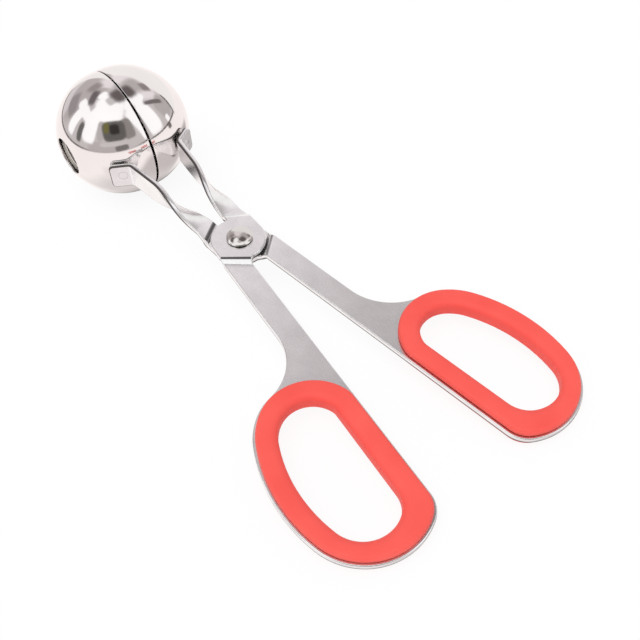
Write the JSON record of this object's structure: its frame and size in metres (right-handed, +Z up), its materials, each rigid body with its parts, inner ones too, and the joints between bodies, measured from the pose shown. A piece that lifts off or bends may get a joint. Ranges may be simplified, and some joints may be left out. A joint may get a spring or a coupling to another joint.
{
  "type": "meatball scoop",
  "caption": "Scissor-action meatball scoop: crossed steel arms on one rivet, with moulded finger loops and a hollow two-part ball that parts when the handles are opened.",
  "frame": {"origin": "under the middle of the tool's bounding box, on the surface that the closed tool lies on", "axes": "+Y along the tool from the grips to the ball, +Z up off the surface, +X to the right seen from above with the ball ahead; the rivet axis leans 6 degrees back from +Z because the tool lies on its ball and on both grips"},
  "size_m": [0.0916, 0.1984, 0.0426],
  "materials": {
    "arm_steel": "satin stainless sheet with tumbled, rounded edges",
    "cup_steel": "mirror-polished drawn stainless shell",
    "grip_plastic": "coral red moulded plastic, soft sheen",
    "rivet_steel": "polished rivet head"
  },
  "bodies": {
    "upper": {"upper_arm": "arm_steel", "right_cup": "cup_steel", "left_grip": "grip_plastic", "rivet": "rivet_steel"},
    "lower": {"lower_arm": "arm_steel", "left_cup": "cup_steel", "right_grip": "grip_plastic"}
  },
  "joints": [
    {"name": "opening", "type": "hinge", "parent": "upper", "child": "lower", "pos_m": [0, 0.0084, 0.01403], "axis": [0, -0.1041, 0.9946], "range_deg": [0, 50]}
  ]
}
